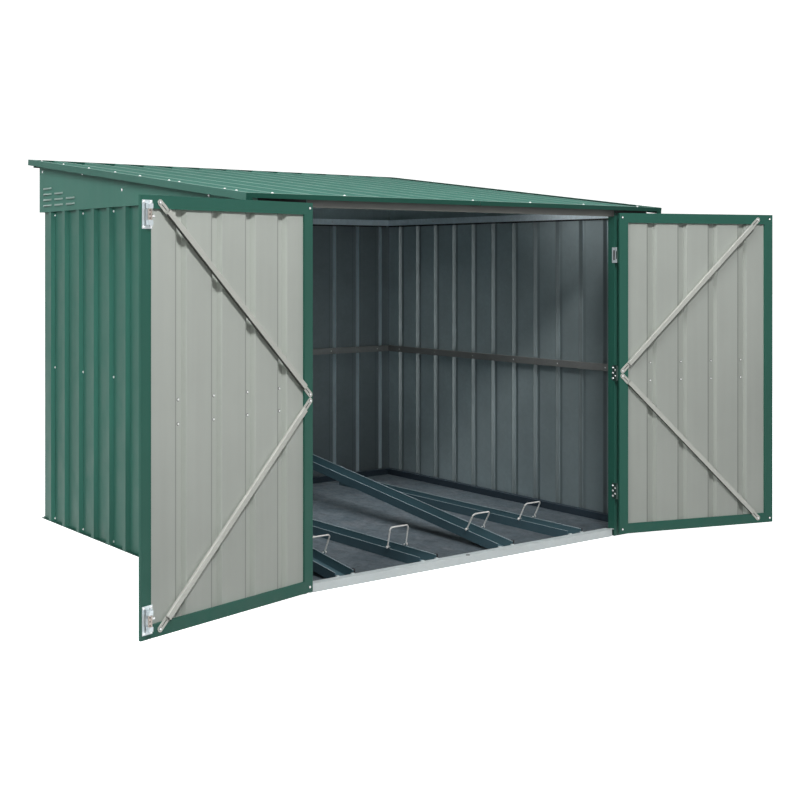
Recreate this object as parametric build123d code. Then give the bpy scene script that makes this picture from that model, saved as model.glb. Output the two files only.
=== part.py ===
from build123d import *
import math
import os

os.makedirs("parts", exist_ok=True)

# Metal bike shelter with a pent roof, two outward opening doors and four wheel trays.
# Millimetres, X to the right along the front, Y from the front to the back, Z up.
# The origin is the centre of the base on the ground.

# Building
width = 1950
depth = 1840
wall_height = 1378
sheet = 1.0
channel_wall = 1.5

# Ribs of the walls, doors and roof
rib_pitch = 150
rib_base = 44
rib_crest = 26
wall_rib_depth = 16
roof_rib_depth = 13
right_wall_rib_shift = -13
left_door_rib_shift = -14
right_door_rib_shift = 6

# Channels inside the walls
rail_height = 30
rail_width = 30
mid_rail_width = 20
mid_rail_centre = 686
front_channel_depth = 35
base_rail_height = 36
floor_thickness = 6
jamb_width = 30

# Doorway and threshold
opening_width = 1550
threshold_end_gap = 14
threshold_tab_depth = 18

# Roof and the panels under it
roof_pitch = 6.8
front_overhang = 28
back_overhang = 42
side_overhang = 62
roof_joint = 375
roof_sheet_gap = 0.4
trim_flange = 25
trim_lip = 15
front_trim_drop = 2
side_trim_drop = 11
back_trim_drop = 21
front_trim_joint = 2
gable_stand_off = 1
gable_front_setback = 20

# Doors
door_gap = 6
door_bottom = 14
door_top = 1361
door_meeting_gap = 10
door_edge_gap = 10
stile_width = 41
frame_depth = 8
frame_wall = 1.2
cover_height = 100
cover_thickness = 1.5
cover_inset = 50
left_open_angle = 166.6
right_open_angle = 162.2

# Door braces
brace_width = 20
brace_depth = 10
brace_flat = 2
brace_flat_length = 40
brace_wall = 1.5
brace_end_radius = 10
brace_end_gap = 1
brace_hinge_inset = 14
brace_free_inset = 76
brace_end_inset = 22

# Hinges
hinge_height = 65
hinge_inset = 177
hinge_plate = 2
hinge_radius = 4
pin_radius = 2
pin_clearance = 0.5
knuckle_share = 16
knuckle_gap = 0.5
hinge_edge_gap = 5
jamb_leaf_back = 12
knuckle_relief = 2
door_leaf_width = 30

# Barrel bolts on the inside of the left door
bolt_plate_width = 40
bolt_plate_height = 88
bolt_plate_thickness = 1.5
bolt_end_inset = 15
bolt_edge_inset = 25
bolt_stand_off = 14
bolt_guide_width = 16
bolt_guide_height = 14
bolt_guide_depth = 20
bolt_guide_inset = 12
rod_radius = 4
rod_clearance = 0.5
rod_length = 64
rod_hole_radius = 5.2
rod_tip_inset = 10
knob_radius = 3
knob_reach = 17
knob_inset = 40

# Wheel trays and hoops
tray_count = 4
tray_pitch = 390
tray_width = 82
tray_height = 36
tray_length = 1650
tray_front_gap = 47
tray_incline_angle = 7
stand_width = 60
stand_depth = 25
stand_inset = 70
stand_foot = 30
stand_wall = 2
hoop_radius = 3
hoop_height = 80
hoop_side_gap = 0.5
hoop_foot_reach = 4
hoop_foot_bend = 4
hoop_top_bend = 12
hoop_pivot_rise = 6
hoop_hole_radius = 3.5
ear_radius = 6
hoop_setbacks = (194, 195, 186, 288)
hoop_lean_angles = (27, 12, 32, 29)

# Faces that several pieces share
half_width = width / 2
half_depth = depth / 2
inner_x = half_width - sheet
front_inner_y = -half_depth + sheet
back_inner_y = half_depth - sheet
front_channel_back = front_inner_y + front_channel_depth
half_opening = opening_width / 2
rail_inner_x = inner_x - rail_width
rail_inner_y = back_inner_y - rail_width
wall_top_channel = wall_height - rail_height
gable_inner = half_width + wall_rib_depth + gable_stand_off
back_panel_inner = half_depth + wall_rib_depth + gable_stand_off
roof_edge_x = half_width + side_overhang
roof_top = sheet + roof_rib_depth + sheet

# Door faces in the closed position
door_inner_y = -half_depth - door_gap
frame_outer_y = door_inner_y - frame_depth
door_outer_y = frame_outer_y - sheet
door_crest_y = door_outer_y - wall_rib_depth
door_hinge_x = -half_opening + door_edge_gap
door_free_x = -door_meeting_gap / 2
pin_x = door_hinge_x - hinge_edge_gap
pin_y = door_outer_y - hinge_radius
door_middle = (door_bottom + door_top) / 2


def block(x, y, z):
    """A box between two corners, each axis given as (low, high)."""
    size = Box(x[1] - x[0], y[1] - y[0], z[1] - z[0])
    return Pos((x[0] + x[1]) / 2, (y[0] + y[1]) / 2, (z[0] + z[1]) / 2) * size


def channel(x, y, z, open_side, run, wall=channel_wall):
    """A U channel: open on one side, such as "+x", and at both ends along its run."""
    spans = {"x": list(x), "y": list(y), "z": list(z)}
    for name, span in spans.items():
        if name == run:
            spans[name] = [span[0] - wall, span[1] + wall]
        elif name != open_side[1]:
            spans[name] = [span[0] + wall, span[1] - wall]
        elif open_side[0] == "+":
            spans[name] = [span[0] + wall, span[1] + wall]
        else:
            spans[name] = [span[0] - wall, span[1] - wall]
    return block(x, y, z) - block(spans["x"], spans["y"], spans["z"])


def rib_profile(low, high, centres, rib_depth):
    """Closed outline of a ribbed sheet, as (along, out) pairs, its flat face at out = 0."""
    bend = math.atan2(rib_depth, (rib_base - rib_crest) / 2)
    shift = sheet * math.tan(bend / 2)
    outer = [(low, 0)]
    inner = [(low, -sheet)]
    for c in centres:
        outer += [(c - rib_base / 2, 0), (c - rib_crest / 2, rib_depth)]
        outer += [(c + rib_crest / 2, rib_depth), (c + rib_base / 2, 0)]
        inner += [(c - rib_base / 2 + shift, -sheet), (c - rib_crest / 2 + shift, rib_depth - sheet)]
        inner += [(c + rib_crest / 2 - shift, rib_depth - sheet), (c + rib_base / 2 - shift, -sheet)]
    outer.append((high, 0))
    inner.append((high, -sheet))
    return outer + inner[::-1]


def rib_centres(span, middle=0):
    """Rib centres at the pitch, as many as a span has room for, evenly about its middle."""
    count = int(span / rib_pitch)
    return [middle + (n - (count - 1) / 2) * rib_pitch for n in range(count)]


def upright_sheet(profile, place, low, high):
    """A ribbed sheet that stands upright; place turns (along, out) into (x, y)."""
    points = [place(along, out) for along, out in profile]
    outline = make_face(Polyline(*points, close=True))
    return Pos(0, 0, low) * extrude(outline, high - low, dir=(0, 0, 1))


def save(name, *solids):
    """Write one node from one or more separate solids."""
    shape = solids[0] if len(solids) == 1 else Compound(children=list(solids))
    export_step(shape, f"parts/{name}.step")


def right_of(shape):
    """The same piece on the right hand side."""
    return mirror(shape, Plane.YZ)


# The roof leans on the front edge of the header and rises towards the back
slope = math.tan(math.radians(roof_pitch))


def roof_under(y):
    """Height of the underside of the roof sheets."""
    return wall_height + (y - front_inner_y) * slope


# Floor and base
floor = block((-rail_inner_x, rail_inner_x), (front_channel_back, rail_inner_y), (0, floor_thickness))
save("floor_panel", floor)

base_left = channel(
    (-inner_x, -rail_inner_x), (front_inner_y, back_inner_y), (0, base_rail_height), "-x", "y"
)
base_back = channel(
    (sheet - rail_inner_x, rail_inner_x - sheet),
    (rail_inner_y, back_inner_y),
    (0, base_rail_height),
    "+y",
    "x",
)
save("base_rails", base_left, right_of(base_left), base_back)

# The rod of the lower bolt drops into the threshold, the upper one into the header
bolt_x = door_free_x - bolt_edge_inset
bolt_y = door_inner_y + bolt_stand_off
rod_hole = Pos(bolt_x, bolt_y, 0) * Cylinder(rod_hole_radius, 4 * rail_height)

threshold_half = half_opening - threshold_end_gap
threshold = channel(
    (-threshold_half, threshold_half), (front_inner_y, front_channel_back), (0, rail_height), "+y", "x"
)
tab = block(
    (-half_opening, -threshold_half),
    (front_inner_y, front_inner_y + threshold_tab_depth),
    (rail_height - channel_wall, rail_height),
)
lower_hole = rod_hole & block(
    (bolt_x - rail_width, bolt_x + rail_width), (-half_depth, 0), (channel_wall, rail_height)
)
save("threshold", threshold + tab + right_of(tab) - lower_hole)

# Walls
def side_wall(rib_shift):
    """The left wall, its ribs moved along it."""
    profile = rib_profile(front_inner_y, half_depth, rib_centres(depth, rib_shift), wall_rib_depth)
    return upright_sheet(profile, lambda a, out: (-half_width - out, a), 0, wall_height)


save("left_wall", side_wall(0))
save("right_wall", right_of(side_wall(right_wall_rib_shift)))

back_profile = rib_profile(-inner_x, inner_x, rib_centres(width), wall_rib_depth)
save("back_wall", upright_sheet(back_profile, lambda a, out: (a, half_depth + out), 0, wall_height))

front_panel = block(
    (-half_width, -half_opening), (-half_depth, front_inner_y), (0, roof_under(-half_depth))
)
save("front_panel_left", front_panel)
save("front_panel_right", right_of(front_panel))

jamb = channel(
    (-half_opening - jamb_width, -half_opening),
    (front_inner_y, front_channel_back),
    (0, wall_top_channel),
    "-x",
    "z",
)
save("door_jamb_left", jamb)
save("door_jamb_right", right_of(jamb))

header = channel(
    (-inner_x, inner_x), (front_inner_y, front_channel_back), (wall_top_channel, wall_height), "+y", "x"
)
upper_hole = Pos(0, 0, wall_top_channel) * rod_hole & block(
    (bolt_x - rail_width, bolt_x + rail_width), (-half_depth, 0), (0, wall_height - channel_wall)
)
save("front_header", header - upper_hole)

top_left = channel(
    (-inner_x, -rail_inner_x),
    (front_channel_back, back_inner_y),
    (wall_top_channel, wall_height),
    "-x",
    "y",
)
top_back = channel(
    (sheet - rail_inner_x, rail_inner_x - sheet),
    (rail_inner_y, back_inner_y),
    (wall_top_channel, wall_height),
    "+y",
    "x",
)
save("wall_top_channels", top_left, right_of(top_left), top_back)

mid_span = (mid_rail_centre - rail_height / 2, mid_rail_centre + rail_height / 2)
mid_inner_x = inner_x - mid_rail_width
mid_left = channel((-inner_x, -mid_inner_x), (front_channel_back, back_inner_y), mid_span, "-x", "y")
mid_back = channel(
    (sheet - mid_inner_x, mid_inner_x - sheet),
    (back_inner_y - mid_rail_width, back_inner_y),
    mid_span,
    "+y",
    "x",
)
save("wall_mid_rails", mid_left, right_of(mid_left), mid_back)

gable_front_y = -half_depth + gable_front_setback
gable_outline = Polyline(
    (-gable_inner, gable_front_y, wall_height),
    (-gable_inner, back_panel_inner, wall_height),
    (-gable_inner, back_panel_inner, roof_under(back_panel_inner)),
    (-gable_inner, gable_front_y, roof_under(gable_front_y)),
    close=True,
)
gable = extrude(make_face(gable_outline), sheet, dir=(-1, 0, 0))
ledge_z = (wall_height, wall_height + sheet)
gable += block((-gable_inner, -rail_inner_x), (gable_front_y, back_panel_inner), ledge_z)
save("gable_left", gable)
save("gable_right", right_of(gable))

back_panel_outer = back_panel_inner + sheet
back_outline = Polyline(
    (0, back_panel_inner, wall_height),
    (0, back_panel_outer, wall_height),
    (0, back_panel_outer, roof_under(back_panel_outer)),
    (0, back_panel_inner, roof_under(back_panel_inner)),
    close=True,
)
back_panel = extrude(make_face(back_outline), gable_inner + sheet, dir=(1, 0, 0), both=True)
back_panel += block(
    (sheet - rail_inner_x, rail_inner_x - sheet), (rail_inner_y, back_panel_inner), ledge_z
)
save("back_upper_panel", back_panel)

# Roof pieces are drawn flat, with the underside of the sheets at zero, and then tilted
run = 1 / math.cos(math.radians(roof_pitch))
roof_front = -(front_overhang + sheet) * run
roof_back = (depth - sheet + back_overhang) * run
to_roof = Pos(0, front_inner_y, wall_height) * Rot(roof_pitch, 0, 0)
roof_sheet_x = roof_edge_x - sheet
joints = [-roof_sheet_x, -roof_joint, roof_joint, roof_sheet_x]
for n in range(3):
    low = joints[n] + (roof_sheet_gap / 2 if n > 0 else 0)
    high = joints[n + 1] - (roof_sheet_gap / 2 if n < 2 else 0)
    centres = [c for c in rib_centres(width) if low < c < high]
    outline = [(x, roof_front, up + sheet) for x, up in rib_profile(low, high, centres, roof_rib_depth)]
    roof_sheet = extrude(
        make_face(Polyline(*outline, close=True)), roof_back - roof_front, dir=(0, 1, 0)
    )
    save(f"roof_sheet_{n + 1}", to_roof * roof_sheet)

trim_x = roof_sheet_x - trim_flange
trim_span = (-trim_x, trim_x)
flange_z = (roof_top - sheet, roof_top)
front_trim = block(trim_span, (roof_front - sheet, roof_front), (-front_trim_drop, roof_top))
front_trim += block(trim_span, (roof_front, roof_front + trim_flange), flange_z)
front_trim += block(
    trim_span, (roof_front, roof_front + trim_lip), (-front_trim_drop, sheet - front_trim_drop)
)
front_left = front_trim & block((-width, -front_trim_joint / 2), (-width, width), (-width, width))
save("roof_front_trim", to_roof * front_left, to_roof * right_of(front_left))

back_trim = block(trim_span, (roof_back, roof_back + sheet), (-back_trim_drop, roof_top))
back_trim += block(
    trim_span, (roof_back - trim_lip, roof_back), (-back_trim_drop, sheet - back_trim_drop)
)
save("roof_back_trim", to_roof * back_trim)

trim_ends = (roof_front - sheet, roof_back + sheet)
side_trim = block((-roof_edge_x, -roof_sheet_x), trim_ends, (-side_trim_drop, roof_top))
side_trim += block((-roof_sheet_x, -trim_x), trim_ends, flange_z)
side_trim += block(
    (-roof_sheet_x, trim_lip - roof_sheet_x), trim_ends, (-side_trim_drop, sheet - side_trim_drop)
)
for end in (roof_front - sheet, roof_back):
    side_trim += block((-roof_sheet_x, -trim_x), (end, end + sheet), (-side_trim_drop, roof_top))
save("roof_side_trims", to_roof * side_trim, to_roof * right_of(side_trim))

# Door leaf, drawn closed on the left hand side
leaf_width = door_free_x - door_hinge_x
leaf_x = (door_hinge_x, door_free_x)
leaf_z = (door_bottom, door_top)


def grown(span, by):
    """The span made longer by the same length at both ends."""
    return (span[0] - by, span[1] + by)


frame_y = (frame_outer_y, door_inner_y)
frame = block(leaf_x, frame_y, leaf_z)
frame -= block(grown(leaf_x, -stile_width), grown(frame_y, sheet), grown(leaf_z, -stile_width))
pocket_y = (frame_outer_y - sheet, door_inner_y - frame_wall)
pocket = block(grown(leaf_x, -frame_wall), pocket_y, grown(leaf_z, -frame_wall))
lip = frame_wall - stile_width
pocket -= block(grown(leaf_x, lip), grown(pocket_y, sheet), grown(leaf_z, lip))
frame -= pocket

leaf_centre = (door_hinge_x + door_free_x) / 2


def door_panel(rib_shift):
    """Ribbed sheet behind the frame of a door, its ribs moved along it."""
    centres = rib_centres(leaf_width - 2 * stile_width, leaf_centre + rib_shift)
    profile = rib_profile(door_hinge_x, door_free_x, centres, wall_rib_depth)
    return upright_sheet(profile, lambda a, out: (a, door_outer_y - out), door_bottom, door_top)



cover = block(
    grown(leaf_x, -cover_inset),
    (door_crest_y - cover_thickness, door_crest_y),
    (door_middle - cover_height / 2, door_middle + cover_height / 2),
)


def brace(start, end):
    """A tube with two flattened, rounded ends, on the inner face of the leaf."""
    run_x, run_z = end[0] - start[0], end[1] - start[1]
    length = math.hypot(run_x, run_z)
    strip = SlotCenterToCenter(length, 2 * brace_end_radius)
    body = extrude(strip, brace_flat)
    tube_length = length - 2 * brace_flat_length
    tube = Pos(0, 0, brace_depth / 2) * Box(tube_length, brace_width, brace_depth)
    tube = fillet(tube.edges().filter_by(Axis.X), brace_wall)
    body += tube
    body -= Pos(0, 0, brace_depth / 2) * Box(
        tube_length + brace_flat, brace_width - 2 * brace_wall, brace_depth - 2 * brace_wall
    )
    body = Rot(0, -math.degrees(math.atan2(run_z, run_x)), 0) * Rot(-90, 0, 0) * body
    middle = (start[0] + run_x / 2, start[1] + run_z / 2)
    return Pos(middle[0], door_inner_y, middle[1]) * body


brace_hinge_x = door_hinge_x + brace_hinge_inset
brace_free_x = door_free_x - brace_free_inset
brace_split = brace_end_radius + brace_end_gap / 2
upper_brace = brace(
    (brace_hinge_x, door_middle + brace_split), (brace_free_x, door_top - brace_end_inset)
)
lower_brace = brace(
    (brace_hinge_x, door_middle - brace_split), (brace_free_x, door_bottom + brace_end_inset)
)

# Hinges: each has a leaf on the jamb with the pin, and a leaf on the outside of the door
hinge_heights = (door_bottom + hinge_inset, door_middle, door_top - hinge_inset)
half_hinge = hinge_height / 2
half_knuckle = half_hinge - knuckle_share


def jamb_leaf(z):
    """Plate on the side of the jamb, with an upper and a lower knuckle and the pin."""
    plate_x = (-half_opening, -half_opening + hinge_plate)
    leaf = block(plate_x, (pin_y, -half_depth + jamb_leaf_back), (z - half_hinge, z + half_hinge))
    relief_y = pin_y + hinge_radius + knuckle_relief
    leaf -= block(
        grown(plate_x, hinge_radius),
        (pin_y - hinge_radius, relief_y),
        (z - half_knuckle - knuckle_gap, z + half_knuckle + knuckle_gap),
    )
    for side in (-1, 1):
        middle = z + side * (half_hinge + half_knuckle + knuckle_gap) / 2
        leaf += Pos(pin_x, pin_y, middle) * Cylinder(hinge_radius, knuckle_share - knuckle_gap)
    return leaf + Pos(pin_x, pin_y, z) * Cylinder(pin_radius, hinge_height)


def door_leaf(z):
    """Plate on the outer face of the door, with the middle knuckle."""
    plate_y = (door_outer_y - hinge_plate, door_outer_y)
    leaf = block(
        (door_hinge_x, door_hinge_x + door_leaf_width), plate_y, (z - half_hinge, z + half_hinge)
    )
    leaf += block((pin_x, door_hinge_x), plate_y, (z - half_knuckle, z + half_knuckle))
    leaf += Pos(pin_x, pin_y, z) * Cylinder(hinge_radius, 2 * half_knuckle)
    return leaf - Pos(pin_x, pin_y, z) * Cylinder(pin_radius + pin_clearance, hinge_height)


jamb_leaves = [jamb_leaf(z) for z in hinge_heights]
door_leaves = [door_leaf(z) for z in hinge_heights]
save("jamb_hinge_leaves", *jamb_leaves, *[right_of(leaf) for leaf in jamb_leaves])


def bolt_case():
    """Plate and two guides of the lower bolt."""
    low = door_bottom + bolt_end_inset
    plate_x = (bolt_x - bolt_plate_width / 2, bolt_x + bolt_plate_width / 2)
    plate_y = (door_inner_y, door_inner_y + bolt_plate_thickness)
    case = block(plate_x, plate_y, (low, low + bolt_plate_height))
    for z in (low + bolt_guide_inset, low + bolt_plate_height - bolt_guide_inset - bolt_guide_height):
        case += block(
            (bolt_x - bolt_guide_width / 2, bolt_x + bolt_guide_width / 2),
            (door_inner_y, door_inner_y + bolt_guide_depth),
            (z, z + bolt_guide_height),
        )
    bore_height = 2 * (bolt_plate_height + bolt_end_inset)
    return case - Pos(bolt_x, bolt_y, low) * Cylinder(rod_radius + rod_clearance, bore_height)


def bolt_rod():
    """Rod of the lower bolt, drawn back, with its knob towards the hinges."""
    low = door_bottom + bolt_end_inset + rod_tip_inset
    rod = Pos(bolt_x, bolt_y, low + rod_length / 2) * Cylinder(rod_radius, rod_length)
    knob = Rot(0, 90, 0) * Cylinder(knob_radius, knob_reach)
    return rod + Pos(bolt_x - knob_reach / 2, bolt_y, low + knob_inset) * knob


def upper(shape):
    """The same piece at the top of the door."""
    return mirror(shape, Plane(origin=(0, 0, door_middle), z_dir=(0, 0, 1)))


def swung(shape, angle, x=pin_x):
    """A piece of a closed door, turned open about its hinge pins."""
    return Pos(x, pin_y, 0) * Rot(0, 0, angle) * Pos(-x, -pin_y, 0) * shape


leaf_nodes = {
    "door_frame": [frame],
    "door_cover_rail": [cover],
    "door_braces": [upper_brace, lower_brace],
    "door_hinge_leaves": door_leaves,
}
for name, solids in leaf_nodes.items():
    save(f"left_{name}", *[swung(s, -left_open_angle) for s in solids])
    save(f"right_{name}", *[swung(right_of(s), right_open_angle, -pin_x) for s in solids])
save("left_door_panel", swung(door_panel(left_door_rib_shift), -left_open_angle))
save("right_door_panel", swung(right_of(door_panel(right_door_rib_shift)), right_open_angle, -pin_x))

save("bolt_cases", *[swung(s, -left_open_angle) for s in (bolt_case(), upper(bolt_case()))])
save("lower_bolt_rod", swung(bolt_rod(), -left_open_angle))
save("upper_bolt_rod", swung(upper(bolt_rod()), -left_open_angle))

# Wheel trays: every other one climbs towards the back, on a stand
tray_front = -half_depth + tray_front_gap
hoop_leg_x = tray_width / 2 + hoop_side_gap + hoop_radius
hoop_foot_x = tray_width / 2 - channel_wall - hoop_foot_reach


def hoop():
    """A bent rod that stands over the tray, with its pivots on the X axis."""
    path = FilletPolyline(
        (-hoop_foot_x, 0, 0),
        (-hoop_leg_x, 0, 0),
        (-hoop_leg_x, 0, hoop_height),
        (hoop_leg_x, 0, hoop_height),
        (hoop_leg_x, 0, 0),
        (hoop_foot_x, 0, 0),
        radius=[hoop_foot_bend, hoop_top_bend, hoop_top_bend, hoop_foot_bend],
    )
    start = Plane(origin=(-hoop_foot_x, 0, 0), z_dir=(-1, 0, 0))
    return sweep(start * Circle(hoop_radius), path=path)


def ear(setback):
    """The left hand ear that holds a hoop's pivot just over the tray's flange."""
    shape = block(
        (-tray_width / 2, channel_wall - tray_width / 2),
        (setback - ear_radius, setback + ear_radius),
        (tray_height - ear_radius, tray_height + hoop_pivot_rise),
    )
    middle = (channel_wall - tray_width) / 2
    top = Pos(middle, setback, tray_height + hoop_pivot_rise) * Rot(0, 90, 0)
    return shape + top * Cylinder(ear_radius, channel_wall)


stands = []
for n in range(tray_count):
    middle = (n - (tray_count - 1) / 2) * tray_pitch
    incline = tray_incline_angle if n % 2 == 0 else 0
    place = Pos(middle, tray_front, floor_thickness) * Rot(incline, 0, 0)
    pivot = (hoop_setbacks[n], tray_height + hoop_pivot_rise)
    tray = channel((-tray_width / 2, tray_width / 2), (0, tray_length), (0, tray_height), "+z", "y")
    tray += ear(pivot[0]) + right_of(ear(pivot[0]))
    tray -= Pos(0, pivot[0], pivot[1]) * Rot(0, 90, 0) * Cylinder(hoop_hole_radius, 2 * tray_width)
    save(f"wheel_tray_{n + 1}", place * tray)
    pivot_place = place * Pos(0, pivot[0], pivot[1])
    upright = Rot(-incline, 0, 0) * Rot(hoop_lean_angles[n], 0, 0)
    save(f"wheel_hoop_{n + 1}", pivot_place * upright * hoop())
    if incline:
        back = tray_length - stand_inset
        rise = block((-tray_width, tray_width), (0, tray_length), (-tray_length, 0))
        post = channel(
            (middle - stand_width / 2, middle + stand_width / 2),
            (tray_front + back - stand_depth, tray_front + back),
            (floor_thickness, tray_length),
            "+y",
            "z",
            stand_wall,
        )
        foot = block(
            (middle - stand_width / 2, middle + stand_width / 2),
            (tray_front + back - stand_depth - stand_foot, tray_front + back - stand_depth + stand_wall),
            (floor_thickness, floor_thickness + stand_wall),
        )
        stands.append((post & place * rise) + foot)
save("tray_stands", *stands)
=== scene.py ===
"""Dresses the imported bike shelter: paint, metal, floor, screws, louvres and small hardware."""

import math
import random

import bpy
from mathutils import Matrix, Vector


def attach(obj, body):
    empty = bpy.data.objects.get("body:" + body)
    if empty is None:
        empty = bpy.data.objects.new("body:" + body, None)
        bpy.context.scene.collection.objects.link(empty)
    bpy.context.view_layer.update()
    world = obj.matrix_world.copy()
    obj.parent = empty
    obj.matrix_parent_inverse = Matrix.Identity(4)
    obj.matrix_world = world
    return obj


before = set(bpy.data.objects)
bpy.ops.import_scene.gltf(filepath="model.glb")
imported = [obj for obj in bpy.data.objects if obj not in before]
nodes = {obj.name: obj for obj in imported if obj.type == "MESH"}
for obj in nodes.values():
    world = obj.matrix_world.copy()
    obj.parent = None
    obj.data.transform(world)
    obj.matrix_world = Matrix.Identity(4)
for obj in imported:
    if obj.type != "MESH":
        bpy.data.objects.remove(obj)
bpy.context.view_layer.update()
rng = random.Random(7)

# Camera of the photograph, solved from the shelter's corners
FRAME_PX = 800
FOCAL_PX = 1293.5
HORIZON_PX = 259.9
CAMERA_AT = (-3.2648, -4.6933, 1.1639)
CAMERA_YAW = math.radians(37.54)
SENSOR_MM = 36

data = bpy.data.cameras.new("camera")
data.sensor_width = SENSOR_MM
data.lens = SENSOR_MM * FOCAL_PX / FRAME_PX
data.shift_y = (HORIZON_PX - FRAME_PX / 2) / FRAME_PX
data.clip_start = 0.05
data.clip_end = 200
camera = bpy.data.objects.new("camera", data)
camera.location = CAMERA_AT
camera.rotation_euler = (math.radians(90), 0, -CAMERA_YAW)
bpy.context.scene.collection.objects.link(camera)
bpy.context.scene.camera = camera
bpy.context.scene.view_settings.view_transform = "Standard"

# Sizes of the shelter that the small pieces need, in metres
HALF_WIDTH = 0.975
HALF_DEPTH = 0.920
RIB_PITCH = 0.150
RIB_FOOT = 0.022
RIB_DEPTH = 0.016
RIGHT_WALL_SHIFT, LEFT_DOOR_SHIFT, RIGHT_DOOR_SHIFT = -0.013, -0.014, 0.006
GABLE_X = 0.994
RAIL_X, MID_RAIL_X = 0.944, 0.954
RAIL_BACK_Y, MID_RAIL_BACK_Y = 0.889, 0.899
CHANNEL_LIP_Z = 1.3408
FRONT_PANEL_X = 0.875
BACK_UPPER_Y = 0.938
ROOF_TILT = math.radians(6.8)
ROOF_START_Y = -0.919
WALL_TOP = 1.378
TOP_ROW_Z, MID_ROW_Z, LOW_ROW_Z = WALL_TOP - 0.016, 0.686, 0.015
DOOR_BOTTOM, DOOR_TOP = 0.014, 1.361
DOOR_MIDDLE = (DOOR_BOTTOM + DOOR_TOP) / 2
DOOR_INNER_Y = -0.926
DOOR_OUTER_Y = -0.935
DOOR_HINGE_X, DOOR_FREE_X = -0.765, -0.005
DOOR_CENTRE = (DOOR_HINGE_X + DOOR_FREE_X) / 2
PIN = Vector((-0.770, -0.939, 0))
LEFT_OPEN = math.radians(166.6)
RIGHT_OPEN = math.radians(162.2)
JAMB_LEAF_X, JAMB_LEAF_Y = 0.773, -0.9195
UPPER_HINGES_Z = 1.0
HINGE_INSET = 0.177
BOLT_X, BOLT_Y = -0.030, DOOR_INNER_Y + 0.014
FLOOR_TOP = 0.006
TRAY_CENTRES = [(n - 1.5) * 0.390 for n in range(4)]
TRAY_TILT = math.radians(7)
TRAY_FRONT, TRAY_LENGTH, TRAY_HEIGHT = -0.873, 1.650, 0.036


# Materials

class Nodes:
    """Wires up one material."""

    def __init__(self, name):
        self.material = bpy.data.materials.new(name)
        self.material.use_nodes = True
        self.tree = self.material.node_tree
        self.shader = self.tree.nodes["Principled BSDF"]
        self.coords = self.add("ShaderNodeTexCoord").outputs["Object"]

    def add(self, kind, **settings):
        node = self.tree.nodes.new(kind)
        for key, value in settings.items():
            setattr(node, key, value)
        return node

    def link(self, source, target):
        self.tree.links.new(source, target)

    def stretched(self, scale):
        mapping = self.add("ShaderNodeMapping")
        mapping.inputs["Scale"].default_value = scale
        self.link(self.coords, mapping.inputs["Vector"])
        return mapping.outputs["Vector"]

    def noise(self, scale, detail=3.0, rough=0.5, vector=None, distortion=0.0):
        noise = self.add("ShaderNodeTexNoise")
        noise.inputs["Scale"].default_value = scale
        noise.inputs["Detail"].default_value = detail
        noise.inputs["Roughness"].default_value = rough
        noise.inputs["Distortion"].default_value = distortion
        self.link(vector or self.coords, noise.inputs["Vector"])
        return noise.outputs["Fac"]

    def ramp(self, value, low, high, start=0.0, end=1.0):
        span = self.add("ShaderNodeMapRange")
        span.inputs["From Min"].default_value = low
        span.inputs["From Max"].default_value = high
        span.inputs["To Min"].default_value = start
        span.inputs["To Max"].default_value = end
        self.link(value, span.inputs["Value"])
        return span.outputs["Result"]

    def mix(self, share, a, b, blend="MIX"):
        """Mixes two colours; each is a colour or a socket."""
        mix = self.add("ShaderNodeMix", data_type="RGBA", blend_type=blend)
        for socket, value in ((mix.inputs[0], share), (mix.inputs[6], a), (mix.inputs[7], b)):
            if isinstance(value, bpy.types.NodeSocket):
                self.link(value, socket)
            elif isinstance(value, (int, float)):
                socket.default_value = value
            else:
                socket.default_value = (*value, 1)
        return mix.outputs[2]

    def product(self, a, b, operation="MULTIPLY"):
        maths = self.add("ShaderNodeMath", operation=operation)
        for socket, value in zip(maths.inputs, (a, b)):
            if isinstance(value, bpy.types.NodeSocket):
                self.link(value, socket)
            else:
                socket.default_value = value
        return maths.outputs[0]

    def axis(self, name):
        split = self.add("ShaderNodeSeparateXYZ")
        self.link(self.coords, split.inputs[0])
        return split.outputs[name]

    def paint_rib_shading(self, tone, colour, ribs):
        """Paints shade and highlight lines along the ribs over a tone, each (offset, half width, factor,
        share).
        """
        axis, centre, shading_lines, turn, about = ribs
        vector = self.coords
        if turn:
            rotate = self.add("ShaderNodeVectorRotate", rotation_type="Z_AXIS")
            rotate.inputs["Center"].default_value = about
            rotate.inputs["Angle"].default_value = turn
            self.link(vector, rotate.inputs["Vector"])
            vector = rotate.outputs["Vector"]
        split = self.add("ShaderNodeSeparateXYZ")
        self.link(vector, split.inputs[0])
        wrap = self.add("ShaderNodeMath", operation="WRAP")
        wrap.inputs[1].default_value, wrap.inputs[2].default_value = RIB_PITCH / 2, -RIB_PITCH / 2
        self.link(self.product(split.outputs[axis], centre, "SUBTRACT"), wrap.inputs[0])
        for offset, half, factor, share in shading_lines:
            away = self.product(self.product(wrap.outputs[0], offset, "SUBTRACT"), 0.0, "ABSOLUTE")
            painted_line = self.ramp(away, half * 0.6, half * 1.4, share, 0.0)
            tone = self.mix(painted_line, tone, shade(colour, factor))
        return tone

    def bump(self, height, strength, distance):
        bump = self.add("ShaderNodeBump")
        bump.inputs["Strength"].default_value = strength
        bump.inputs["Distance"].default_value = distance
        self.link(height, bump.inputs["Height"])
        self.link(bump.outputs["Normal"], self.shader.inputs["Normal"])

    def finish(self, colour, roughness, metallic=0.0):
        for name, value in (("Base Color", colour), ("Roughness", roughness)):
            if isinstance(value, bpy.types.NodeSocket):
                self.link(value, self.shader.inputs[name])
            elif name == "Base Color":
                self.shader.inputs[name].default_value = (*value, 1)
            else:
                self.shader.inputs[name].default_value = value
        self.shader.inputs["Metallic"].default_value = metallic
        return self.material


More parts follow.
